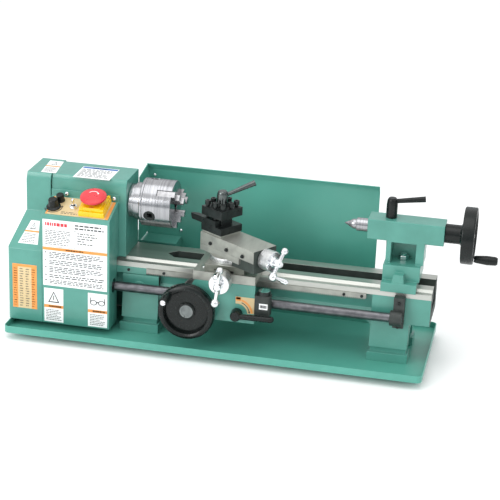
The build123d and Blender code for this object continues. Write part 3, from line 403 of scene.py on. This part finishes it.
class Label:
    """A printed label on a flat face. Marks are placed in unit coordinates, from its bottom left corner."""

    def __init__(self, at, corners=((0, 0), (1, 0), (1, 1), (0, 1)), ground=WHITE_):
        self.bm = bmesh.new()
        self.at = at
        self.corners = [Vector(corner) for corner in corners]
        self.base = 0.0
        if ground is not None:
            self.patch(0, 0, 1, 1, ground, LABEL_THICKNESS)
            self.base = LABEL_THICKNESS

    def spot(self, u, v):
        low = self.corners[0].lerp(self.corners[1], u)
        high = self.corners[3].lerp(self.corners[2], u)
        return tuple(low.lerp(high, v))

    def patch(self, u0, v0, u1, v1, colour, rise=INK_RISE):
        self.shape([(u0, v0), (u1, v0), (u1, v1), (u0, v1)], colour, rise)

    def shape(self, points, colour, rise=INK_RISE):
        prism(self.bm, [self.spot(u, v) for u, v in points], self.base, self.base + rise, self.at, colour)

    def arc(self, u, v, radius, start, end, width, colour, rise=INK_RISE):
        """Curved band about a point, from one angle to another in degrees."""
        turns = [math.radians(start + (end - start) * step / 24) for step in range(25)]
        far, near = radius + width / 2, radius - width / 2
        outer = [(u + far * math.cos(t), v + far * math.sin(t)) for t in turns]
        inner = [(u + near * math.cos(t), v + near * math.sin(t)) for t in turns]
        self.shape(outer + inner[::-1], colour, rise)

    def arrow(self, u, v, radius, start, end, width, colour):
        """Curved band that ends in an arrow head."""
        self.arc(u, v, radius, start, end, width, colour)
        turn = math.radians(end)
        ahead = math.radians(end + math.copysign(math.degrees(2.4 * width / radius), end - start))
        near, far = radius - width * 1.4, radius + width * 1.4
        self.shape([(u + near * math.cos(turn), v + near * math.sin(turn)),
                    (u + far * math.cos(turn), v + far * math.sin(turn)),
                    (u + radius * math.cos(ahead), v + radius * math.sin(ahead))], colour, INK_RISE * 1.5)

    def lines(self, u0, u1, v0, v1, count, seed, colour=INK_, weight=0.42, fill=0.85, word_size=1.0):
        """Rows of dashes in place of text."""
        pick = random.Random(seed)
        pitch = (v1 - v0) / count
        for row in range(count):
            base = v1 - (row + 0.5) * pitch
            at = u0
            share = pick.uniform(fill - 0.25, fill) if row % 4 == 3 else pick.uniform(fill, 1.0)
            end = u0 + (u1 - u0) * share
            while at < end:
                word = min((u1 - u0) * pick.uniform(0.05, 0.16) * word_size, end - at)
                if word > 0.01:
                    self.patch(at, base - pitch * weight / 2, at + word, base + pitch * weight / 2, colour)
                at += word + (u1 - u0) * 0.03 * word_size

    def warning(self, u, v, size_u, size_v):
        """A plain triangle sign."""
        self.shape([(u - size_u, v - size_v), (u + size_u, v - size_v), (u, v + size_v)], INK_)
        self.shape([(u - size_u * 0.7, v - size_v * 0.8), (u + size_u * 0.7, v - size_v * 0.8),
                    (u, v + size_v * 0.7)], WHITE_, INK_RISE * 2)
        self.patch(u - size_u * 0.08, v - size_v * 0.55, u + size_u * 0.08, v + size_v * 0.25,
                   INK_, INK_RISE * 3)

    def goggles(self, u, v, size_u, size_v):
        """A plain picture of safety glasses."""
        for side in (-1, 1):
            middle = u + side * size_u * 0.52
            rim = [(middle + size_u * 0.45 * math.cos(t), v + size_v * math.sin(t))
                   for t in [math.pi * step / 12 for step in range(24)]]
            lens = [(middle + (a - middle) * 0.72, v + (b - v) * 0.72) for a, b in rim]
            self.shape(rim, INK_)
            self.shape(lens, WHITE_, INK_RISE * 2)
            arm = middle + side * size_u * 0.4
            self.patch(arm - size_u * 0.05, v, arm + size_u * 0.05, v + size_v * 1.8, INK_)
        self.patch(u - size_u * 0.12, v, u + size_u * 0.12, v + size_v * 0.4, INK_)

    def done(self, name, body="machine"):
        return piece(self.bm, name, body, PRINTS)


def rectangle(x, y):
    return [(x[0], y[0]), (x[1], y[0]), (x[1], y[1]), (x[0], y[1])]


# ---------------------------------------------------------------- castings and sheet metal
def machined(centre, normal):
    """The bare faces of the bed: the way tops, the vee and the lip in front."""
    if centre.z > -0.2 or (normal.z > 0.3 and centre.z > -6):
        return True
    return normal.y < -0.9 and centre.z > -13.2 and centre.y < -41


def between_ways(centre, normal):
    """The inside of the bed, meaning the slot between the ways and the hollow below them, darkened as painted
    shade.
    """
    inside = -9.5 < centre.y < 20.2 or (abs(centre.y) <= 27.01 and centre.z < -24)
    return inside and -0.2 > centre.z > -62


def stand_and_bed():
    # Way tops, vee and lip are bare ground metal; the inside of the bed gets painted shade.
    finished("bed", [GREEN, GROUND, SHADE], 0.5, [(1, machined), (2, between_ways)])
    finished("feed_rack", [MILLED], 0.0)
    # Tray and guard take the sheet teal that is lightened as painted light.
    finished("chip_tray", [SHEET_GREEN_PAINTED_LIGHT], 0.5)
    finished("splash_guard", [SHEET_GREEN_PAINTED_LIGHT], 0.3)
    finished("rubber_feet", [RUBBER], 0.8)


def headstock_and_covers():
    finished("headstock", [GREEN], 0.9, segments=3)
    finished("gear_cover", [GREEN], 0.9, segments=3)
    finished("control_box", [GREEN], 0.9, segments=3)
    finished("motor_cover", [GREEN], 0.6)
    finished("motor", [CASTING], 0.4)
    finished("control_plate", [CREAM], 0.15)
    finished("cord_gland", [BLACK], 0.4)


def drive_parts():
    finished("spindle", [TURNED], 0.3)
    finished("spindle_pulley", [GEAR], 0.1)
    finished("spindle_bearings", [TURNED], 0.3)
    finished("drive_belt", [RUBBER], 0.3)
    finished("motor_rotor", [TURNED], 0.2)
    finished("gear_bracket", [GEAR], 0.4)
    finished("tumbler_gear", [GEAR], 0.1)
    finished("change_gear", [GEAR], 0.1)


# ---------------------------------------------------------------- screws and small fittings
def fittings():
    finished("machine_screws", [CHROME, OXIDE], 0.15, [(1, lambda centre, normal: -62 < centre.y < -42
                                                        and centre.z < 0)])
    finished("leadscrew_brackets", [CASTING], 0.5)


def helix(bm, at, section, pitch, start, end, steps=28, material=0):
    """Closed helical ridge about the frame's Z; section is a list of (along, radius)."""
    total = int((end - start) / pitch * steps)
    rings = []
    for step in range(total + 1):
        angle = 2 * math.pi * step / steps
        shift = start + pitch * step / steps
        rings.append([bm.verts.new(at @ Vector((r * math.cos(angle), r * math.sin(angle), z + shift)))
                      for z, r in section])
    for low, high in zip(rings, rings[1:]):
        bridge(bm, low, high, material)
    face(bm, rings[0], material)
    face(bm, rings[-1], material)


THREAD_PITCH = 25.4 / 16
THREAD_CREST = 8.0
THREAD_ROOT = 6.9


def leadscrew():
    low, high = box_mm("leadscrew")
    axis = pivot("leadscrew_turn")
    at = facing((0, axis.y, axis.z), (1, 0, 0))
    bm = bmesh.new()
    start, end = low.x + 155, high.x - 19
    spun(bm, rounded([(low.x, 5.2), (low.x, 6), (start - 1.5, 6), (start, THREAD_ROOT), (end, THREAD_ROOT),
                      (end + 1.5, 6), (high.x, 6), (high.x, 4.8)], 0.4), at, 40)
    ridge = [(0, THREAD_ROOT - 0.3), (0.35, THREAD_CREST), (0.8, THREAD_CREST), (1.15, THREAD_ROOT - 0.3)]
    helix(bm, at, ridge, THREAD_PITCH, start, end - 1.5)
    gear = from_node("leadscrew")
    threaded = [vert for vert in gear.verts if vert.co.x > low.x + 12 or
                math.hypot(vert.co.y - axis.y, vert.co.z - axis.z) < 5.9]
    bmesh.ops.delete(gear, geom=threaded, context="VERTS")
    gear_mesh = bpy.data.meshes.new("leadscrew_gear")
    gear.to_mesh(gear_mesh)
    gear.free()
    bm.from_mesh(gear_mesh)
    piece(bm, "leadscrew_thread", "leadscrew", [SCREW_STEEL], ("leadscrew",), sharp=28)


# ---------------------------------------------------------------- chuck
def chuck():
    finished("chuck_body", [TURNED], 0.5)
    finished("chuck_scroll", [GEAR], 0.2)
    for number in (1, 2, 3):
        finished(f"chuck_jaw_{number}", [HARD], 0.35)
        finished(f"chuck_pinion_{number}", [OXIDE], 0.25)


# ---------------------------------------------------------------- carriage
def from_axis(joint, axis):
    """Distance of a face from a joint's axis, which runs along a main direction."""
    at = pivot(joint)
    kept = [index for index in range(3) if index != "xyz".index(axis)]
    return lambda centre: math.hypot(centre[kept[0]] - at[kept[0]], centre[kept[1]] - at[kept[1]])


def graduations(name, body, at, radius, along_axis, count):
    """Engraved lines round a dial, every fifth one longer."""
    bm = bmesh.new()
    for index in range(count):
        turn = at @ Matrix.Rotation(2 * math.pi * index / count, 4, "Z")
        end = along_axis[1] if index % 5 == 0 else (along_axis[0] * 0.4 + along_axis[1] * 0.6)
        slab(bm, (radius - 0.3, -0.22, along_axis[0]), (radius + 0.05, 0.22, end), turn)
    piece(bm, name, body, [INK])


END_SCREW_R = 4.4
END_SCREW_SLOT = 1.1
END_SCREW_DEPTH = 0.75


def end_screw(name, body, at, radius):
    """Slotted chrome screw head on a dark seat, standing on the frame's origin."""
    bm = bmesh.new()
    half = END_SCREW_SLOT / 2
    turns = [math.radians(angle) for angle in range(0, 181, 12)]
    for side in (-1, 1):
        cut = side * half
        outline = [(radius * math.cos(t), side * max(radius * math.sin(t), half)) for t in turns]
        prism(bm, [(outline[0][0], cut), *outline[1:-1], (outline[-1][0], cut)], 0, 0.7, at)
    spun(bm, [(-0.4, radius + 1.1), (0.15, radius + 1.1)], at, 32, material=1)
    piece(bm, name, body, [CHROME, OXIDE], bevel=0.12)


def ball_oiler(name, body, place):
    bm = bmesh.new()
    at = facing(place, (0, 0, 1), (0, 1, 0))
    spun(bm, rounded([(-0.5, 2.6), (1.0, 2.6), (1.6, 1.6), (1.2, 0.6)], 0.4), at, 32)
    piece(bm, name, body, [CHROME])


def carriage():
    finished("saddle", [MILLED], 0.5)
    finished("apron", [GREEN], 0.6)
    finished("thread_dial_body", [CASTING], 0.5)
    finished("thread_dial", [OXIDE, CHROME], 0.3, [
        (1, lambda centre, normal: centre.z > -13.9 and normal.z > 0.9)])
    dial_at = pivot("thread_dial_turn")
    dial_top = (dial_at.x, dial_at.y, box_mm("thread_dial")[1].z)
    star = Label(facing(dial_top, (0, 0, 1), (0, 1, 0)), ground=None)
    for turn in range(4):
        star.arc(0, 0, 4.5, turn * 90 - 3, turn * 90 + 3, 7, INK_)
    star.done("thread_dial_star", "thread_dial")
    finished("apron_pinion", [GEAR], 0.1)
    finished("half_nut_upper", [BRONZE], 0.3)
    finished("half_nut_lower", [BRONZE], 0.3)
    finished("half_nut_lever", [BLACK], 0.5)
    from_shaft = from_axis("carriage_handwheel_turn", "y")
    from_pin = from_axis("carriage_grip_spin", "y")
    finished("carriage_handwheel", [BLACK, HUB_GREY, CHROME], 0.4, [
        (1, lambda centre, normal: from_shaft(centre) < 8.2 and centre.y < -100),
        (2, lambda centre, normal: from_pin(centre) < 3.2 and centre.y < -108)])
    finished("carriage_grip", [BLACK], 0.4)
    pin = pivot("carriage_grip_spin")
    end = box_mm("carriage_handwheel")[0].y
    at = facing((pin.x, end + END_SCREW_DEPTH, pin.z), (0, -1, 0))
    end_screw("carriage_grip_screw", "carriage_handwheel", at, END_SCREW_R)
    for number, place in enumerate(((136, 45, 9.5), (222, 45, 9.5), (140, -62, 9.5), (216, -62, 9.5)), 1):
        ball_oiler(f"saddle_oiler_{number}", "carriage", place)


# Radius, span along the axis and number of the lines on each dial and on the swivel disc.
DIAL_R, DIAL_MARKS, DIAL_COUNT = 17, (1, 8), 50
SWIVEL_R, SWIVEL_MARKS, SWIVEL_COUNT = 32, (2.5, 6.5), 72


def in_compound(centre):
    """A working-frame point in the compound's own frame, with X along its feed screw."""
    return COMPOUND.inverted() @ centre


def tool_slides():
    # Painted shade: the cross slide's forward-facing faces take the darker copy of the milled iron.
    finished("cross_slide", [MILLED, SHADED_IRON], 0.5, [(1, lambda centre, normal: normal.y < -0.9)])
    from_screw = from_axis("cross_crank_turn", "y")
    finished("cross_feed_crank", [CHROME, SATIN], 0.3, [
        (1, lambda centre, normal: 15.4 < from_screw(centre) < 17.2 and -120 < centre.y < -96)])
    screw = pivot("cross_crank_turn")
    at = facing((screw.x, -98, screw.z), (0, -1, 0))
    graduations("cross_dial_marks", "cross_feed_crank", at, DIAL_R, DIAL_MARKS, DIAL_COUNT)
    # Painted shade on the tail of the compound base under the slide; the swivel ring is satin metal.
    finished("compound_base", [MILLED, SATIN, SHADE], 0.4, [
        (2, lambda centre, normal: in_compound(centre).x > 47.2 and centre.z < 41.6),
        (1, lambda centre, normal: math.hypot(in_compound(centre).x, in_compound(centre).y) > 30.5
         and centre.z < 31.1 and in_compound(centre).x < 26)])
    at = COMPOUND @ Matrix.Translation((0, 0, 23))
    graduations("swivel_marks", "compound_base", at, SWIVEL_R, SWIVEL_MARKS, SWIVEL_COUNT)
    # Painted shade on the slide's right end, past 80.5 mm along its feed screw; the gib screws on its front
    # side are black oxide.
    finished("compound_slide", [MILLED, OXIDE, SHADE], 0.35, [
        (1, lambda centre, normal: in_compound(centre).y < -25.1),
        (2, lambda centre, normal: in_compound(centre).x > 80.5)])
    from_feed = facing((0, 0, pivot("compound_crank_turn").z), (1, 0, 0))
    finished("compound_crank", [CHROME, SATIN], 0.3, [
        (1, lambda centre, normal: 15.4 < math.hypot(in_compound(centre).y, centre.z - 46) < 17.2
         and in_compound(centre).x < 103)])
    at = COMPOUND @ Matrix.Translation((82, 0, 0)) @ from_feed
    graduations("compound_dial_marks", "compound_crank", at, DIAL_R, DIAL_MARKS, DIAL_COUNT)
    finished("turret", [OXIDE], 0.5)
    finished("turret_lever", [BLUED], 0.4)
    finished("cutting_tool", [OXIDE], 0.25)


# ---------------------------------------------------------------- tailstock
def tailstock():
    finished("tailstock_body", [GREEN, CHROME, CASTING], 0.9, [
        (1, lambda centre, normal: math.hypot(centre.x - 455, centre.y - 5.35) < 9 and 36 < centre.z < 47),
        (2, lambda centre, normal: centre.z < -0.5 and centre.y > -25)], segments=3)
    finished("tailstock_quill", [TURNED], 0.3)
    from_pin = from_axis("tailstock_grip_spin", "x")
    finished("tailstock_handwheel", [BLACK, CHROME], 0.6, [
        (1, lambda centre, normal: from_pin(centre) < 3.2 and centre.x > 567)])
    finished("tailstock_grip", [BLACK], 0.4)
    pin = pivot("tailstock_grip_spin")
    end = box_mm("tailstock_handwheel")[1].x
    at = facing((end - END_SCREW_DEPTH, pin.y, pin.z), (1, 0, 0))
    end_screw("tailstock_grip_screw", "tailstock_handwheel", at, END_SCREW_R)
    finished("quill_lock_lever", [BLACK], 0.5)


# ---------------------------------------------------------------- operator panel
PANEL_UP = (0, math.cos(PANEL_SLOPE), math.sin(PANEL_SLOPE))
PANEL_AWAY = Vector((0, -math.sin(PANEL_SLOPE), math.cos(PANEL_SLOPE)))
PANEL_AT = (0, -86.3, 79.5)


def on_panel(height):
    """Frame on the sloping panel, in millimetres: X to the right, Y up the slope."""
    return facing(Vector(PANEL_AT) + PANEL_AWAY * height, PANEL_AWAY, PANEL_UP)


def panel():
    finished("speed_knob", [BLACK], 0.3)
    finished("fuse_cap", [BLACK], 0.3)
    finished("power_toggle", [CHROME], 0.3)
    finished("switch_base", [YELLOW], 0.5)
    finished("switch_lid", [YELLOW], 0.5)
    finished("stop_button", [RED], 0.6, segments=3)
    prints = Label(on_panel(0.8), ground=None)
    prints.patch(-122, 2, -119, 50, ORANGE_)
    prints.patch(-21, 2, -16, 50, ORANGE_)
    prints.arrow(-113.4, 20.8, 14.2, -160, 10, 1.6, INK_)
    prints.lines(-97, -70, 5, 12, 2, 71, INK_, 0.4, 0.8, 2.0)
    prints.done("panel_prints")
    lid = Label(on_panel(17.0), ground=None)
    lid.patch(-48.5, 8.5, -40.5, 10.5, RED_)
    lid.done("lid_mark", "switch_lid")
    top = Label(on_panel(31.5), ground=None)
    top.arrow(-44.5, 25, 8.5, 150, 30, 1.2, WHITE_)
    top.done("button_mark", "stop_button")


def labels():
    low, high = box_mm("control_box")
    front = facing((0, low.y, 0), (0, -1, 0))
    spec = Label(front, rectangle((low.x + 2, high.x - 4), (-44, 71.5)))
    spec.patch(0.0, 0.54, 1.0, 0.585, ORANGE_)
    spec.lines(0.36, 0.64, 0.55, 0.575, 1, 3, INK_, 0.8, 1.0)
    spec.lines(0.04, 0.38, 0.9, 0.965, 1, 4, RED_, 0.75, 1.0)
    spec.lines(0.5, 0.95, 0.88, 0.97, 2, 5, INK_, 0.5)
    spec.lines(0.04, 0.46, 0.62, 0.85, 9, 6)
    spec.lines(0.54, 0.95, 0.66, 0.85, 5, 7, INK_, 0.4, 0.5)
    spec.patch(0.5, 0.6, 0.506, 0.86, INK_)
    spec.patch(0.03, 0.86, 0.97, 0.864, INK_)
    spec.patch(0.03, 0.596, 0.97, 0.6, INK_)
    for row, (low_v, high_v) in enumerate(((0.42, 0.52), (0.32, 0.4), (0.2, 0.3), (0.12, 0.18), (0.03, 0.1))):
        spec.lines(0.03, 0.06, high_v - 0.03, high_v, 1, 80 + row, INK_, 0.5, 1.0, 8.0)
        spec.lines(0.1, 0.97, low_v, high_v, round((high_v - low_v) / 0.026), 90 + row, INK_, 0.5, 0.9, 0.6)
    spec.done("specification_label")

    pair = (("hazard_label_left", low.x + 3.5, 30), ("hazard_label_right", high.x - 36.5, 40))
    for name, left, seed in pair:
        hazard = Label(front, rectangle((left, left + 33), (-108.5, -49)))
        hazard.patch(0, 0.42, 1, 0.51, ORANGE_)
        hazard.lines(0.25, 0.9, 0.435, 0.495, 1, seed, INK_, 0.8, 1.0)
        if seed == 30:
            hazard.warning(0.5, 0.75, 0.3, 0.17)
        else:
            hazard.goggles(0.5, 0.72, 0.4, 0.08)
        hazard.lines(0.1, 0.9, 0.04, 0.38, 7, seed + 1)
        hazard.done(name)

    cover_low, cover_high = box_mm("gear_cover")
    chart = Label(facing((0, cover_low.y, 0), (0, -1, 0)), rectangle((-179, -137), (-90, -12)), CREAM_)
    chart.patch(0, 0, 0.22, 1, ORANGE_)
    chart.patch(0.78, 0, 1, 1, ORANGE_)
    chart.patch(0.22, 0.94, 0.78, 1, ORANGE_)
    for column in range(4):
        chart.lines(0.05 + column * 0.245, 0.2 + column * 0.245, 0.03, 0.92, 16, 50 + column, INK_, 0.35)
    chart.done("gear_chart_label")

    slope_up = Vector((0, 48, 52.5)).normalized()
    slope_at = facing((0, cover_low.y, 14.5), (0, -52.5, 48), slope_up)
    guard = Label(slope_at, [(-171.2, 10.3), (-137, 10.3), (-143, 52.5), (-158, 52.5)])
    guard.patch(0, 0.5, 1, 0.57, ORANGE_)
    guard.warning(0.5, 0.78, 0.22, 0.15)
    guard.lines(0.1, 0.9, 0.05, 0.45, 6, 60)
    guard.done("cover_label")

    top = facing((0, 0, cover_high.z), (0, 0, 1), (0, 1, 0))
    guard = Label(top, [(-147.5, -30), (-122, -30), (-129, 33), (-153, 33)])
    guard.patch(0, 0.5, 1, 0.58, ORANGE_)
    guard.warning(0.5, 0.8, 0.22, 0.14)
    guard.lines(0.1, 0.9, 0.05, 0.45, 6, 61)
    guard.done("cover_top_label")
    notice = Label(top, rectangle((-90, -28), (-38, 21)))
    notice.patch(0.02, 0.84, 0.98, 0.97, BLUE_)
    notice.lines(0.3, 0.7, 0.87, 0.94, 1, 62, WHITE_, 0.8, 1.0)
    notice.lines(0.05, 0.95, 0.1, 0.8, 7, 63)
    notice.done("headstock_label")

    apron_front = box_mm("apron")[0].y + 4
    nut = Label(facing((201.5, apron_front, -56), (0, -1, 0)), ground=None)
    quarter = [math.radians(4 + 82 * step / 12) for step in range(13)]
    round_lever = [(17 * math.cos(t), 17 * math.sin(t)) for t in quarter]
    nut.shape(round_lever + [(-3, 17), (-3, 29), (28, 29), (28, 2)], CREAM_, LABEL_THICKNESS)
    nut.base = LABEL_THICKNESS
    nut.patch(-3, 22, 6, 29, ORANGE_)
    nut.patch(-2, 24.5, 5, 28, RED_)
    nut.arc(0, 0, 24.5, 6, 74, 3.2, ORANGE_)
    nut.arrow(0, 0, 20.5, 70, 14, 1.4, INK_)
    nut.done("half_nut_label", "carriage")
    dial_front = box_mm("thread_dial_body")[0].y
    dial = Label(facing((0, dial_front, 0), (0, -1, 0)), rectangle((238, 252), (-43, -33)))
    dial.lines(0.1, 0.9, 0.15, 0.85, 1, 65, INK_, 0.7, 1.0, 1.2)
    dial.done("thread_dial_label", "carriage")


# ---------------------------------------------------------------- studio
AZIMUTH, ELEVATION, ROLL = math.radians(11.52), math.radians(20.82), math.radians(2.19)
CAMERA_AT = (0.45034, -2.38018, 1.08329)
LENS = 113.69


def camera():
    made = bpy.data.cameras.new("camera")
    made.lens = LENS
    made.sensor_width = 36
    made.clip_end = 50
    obj = bpy.data.objects.new("camera", made)
    bpy.context.scene.collection.objects.link(obj)
    obj.matrix_world = (Matrix.Translation(CAMERA_AT) @ Matrix.Rotation(AZIMUTH, 4, "Z")
                        @ Matrix.Rotation(math.pi / 2 - ELEVATION, 4, "X") @ Matrix.Rotation(ROLL, 4, "Z"))
    bpy.context.scene.camera = obj


def area_light(name, place, target, size, power, colour=(1, 1, 1)):
    made = bpy.data.lights.new(name, "AREA")
    made.shape = "RECTANGLE"
    made.size, made.size_y = size
    made.energy = power
    made.color = colour
    obj = bpy.data.objects.new(name, made)
    bpy.context.scene.collection.objects.link(obj)
    aim = (Vector(target) - Vector(place)).to_track_quat("-Z", "Y")
    obj.matrix_world = Matrix.Translation(place) @ aim.to_matrix().to_4x4()


def room():
    """World that is darker near the horizon, so that polished metal shows a band."""
    world = bpy.data.worlds.new("studio")
    world.use_nodes = True
    tree = world.node_tree
    place = tree.nodes.new("ShaderNodeTexCoord")
    split = tree.nodes.new("ShaderNodeSeparateXYZ")
    ramp = tree.nodes.new("ShaderNodeValToRGB")
    stops = ramp.color_ramp.elements
    stops[0].position, stops[0].color = 0.0, (0.38, 0.41, 0.43, 1)
    stops[1].position, stops[1].color = 0.55, (1.0, 1.0, 1.0, 1)
    low = stops.new(0.12)
    low.color = (0.43, 0.46, 0.48, 1)
    tree.links.new(place.outputs["Generated"], split.inputs["Vector"])
    tree.links.new(split.outputs["Z"], ramp.inputs["Fac"])
    tree.links.new(ramp.outputs["Color"], tree.nodes["Background"].inputs["Color"])
    tree.nodes["Background"].inputs["Strength"].default_value = 1.12
    return world


def studio():
    bm = bmesh.new()
    rim = rounded([(-9, 7), (-9, -9), (9, -9), (9, 7)], 1.0, 6, closed=True)
    face(bm, [bm.verts.new((x, y, 0)) for x, y in rim], 0)
    mesh = bpy.data.meshes.new("floor")
    bm.to_mesh(mesh)
    bm.free()
    mesh.materials.append(FLOOR)
    floor = bpy.data.objects.new("floor", mesh)
    bpy.context.scene.collection.objects.link(floor)
    area_light("softbox_top", (-0.35, -0.5, 2.2), (0, 0, 0.1), (2.0, 1.6), 14)
    area_light("softbox_front", (-1.9, -2.3, 1.3), (0, 0, 0.1), (1.8, 1.2), 44)
    area_light("fill_right", (2.2, -1.2, 1.2), (0.1, 0, 0.1), (1.2, 1.2), 3)
    bpy.context.scene.world = room()
    bpy.context.scene.view_settings.view_transform = "Standard"


camera()
studio()
stand_and_bed()
headstock_and_covers()
drive_parts()
fittings()
leadscrew()
chuck()
carriage()
tool_slides()
tailstock()
panel()
labels()
